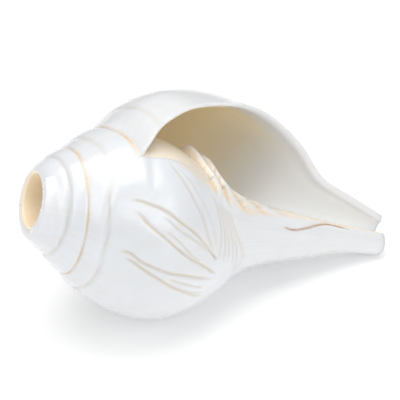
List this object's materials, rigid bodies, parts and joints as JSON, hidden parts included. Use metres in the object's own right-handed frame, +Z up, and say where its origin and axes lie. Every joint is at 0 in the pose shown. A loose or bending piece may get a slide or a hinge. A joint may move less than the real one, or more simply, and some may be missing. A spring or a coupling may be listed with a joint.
{
  "type": "conch shell",
  "caption": "Polished right-handed chank shell with a sawn, round blow hole at the spire, a wide mouth, a folded pillar and a long open canal; lies on its side.",
  "frame": {"origin": "centre of the bounding box at floor level, with the shell lying as it rests", "axes": "+X towards the tip of the canal, +Z up, mouth towards -Y and +Z; the coiling axis lies in a plane of constant Y and dips 21.5 degrees towards +X"},
  "size_m": [0.1508, 0.0832, 0.0869],
  "materials": {
    "polished_shell": "ground and polished aragonite, cool white outside, cream to tan inside the mouth and the blow hole"
  },
  "bodies": {
    "root": {"shell": "polished_shell"}
  },
  "joints": []
}
